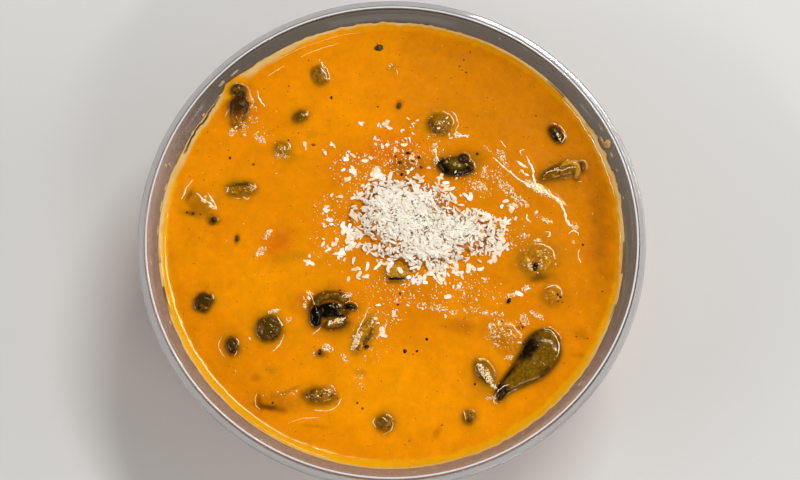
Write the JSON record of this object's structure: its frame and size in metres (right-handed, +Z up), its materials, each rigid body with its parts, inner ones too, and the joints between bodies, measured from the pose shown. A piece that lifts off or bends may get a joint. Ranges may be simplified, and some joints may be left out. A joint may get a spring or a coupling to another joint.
{
  "type": "bowl of dal",
  "caption": "Clear plastic bowl filled with thick orange dal, topped with grated coconut, peas, green beans and chillies.",
  "frame": {"origin": "on the bowl's vertical axis, on the surface it stands on", "axes": "+Z up along the bowl's axis, +X to the right and +Y away from the viewer of the picture"},
  "size_m": [0.15, 0.15, 0.046],
  "materials": {
    "clear_plastic": "clear, slightly smoky thin moulded plastic, glossy",
    "dal": "thick wet orange-yellow lentil soup, smooth and glossy, with fine specks",
    "coconut": "dry grated coconut flakes, off-white, matte",
    "pea": "cooked dark olive peas, wet",
    "bean": "cooked dark olive cut beans and leaves, wet",
    "chilli": "shrivelled blackish green chilli, wet and glossy",
    "stalk": "dark brown to black stalk, wet",
    "coated": "pieces coated with a film of dal, glossy"
  },
  "bodies": {
    "root": {"bowl": "clear_plastic", "dal": "dal", "coconut_heap": "coconut", "chilli_large": "chilli", "chilli_curl": "chilli", "chilli_knobbed": "chilli", "stalk_wall": "stalk", "pea_west": "pea", "pea_north": "pea", "pea_south": "pea", "pea_northwest": "pea", "pea_heap": "pea", "pea_southwest": "pea", "pea_coated": "coated", "lump_east": "coated", "bean_north": "bean", "bean_northwest": "bean", "bean_west": "bean", "bean_far_west": "bean", "bean_southwest": "bean", "bean_northeast": "bean", "bean_east": "bean", "bean_southeast": "bean", "strip_south": "coated", "leaf_southeast": "bean"}
  },
  "joints": []
}
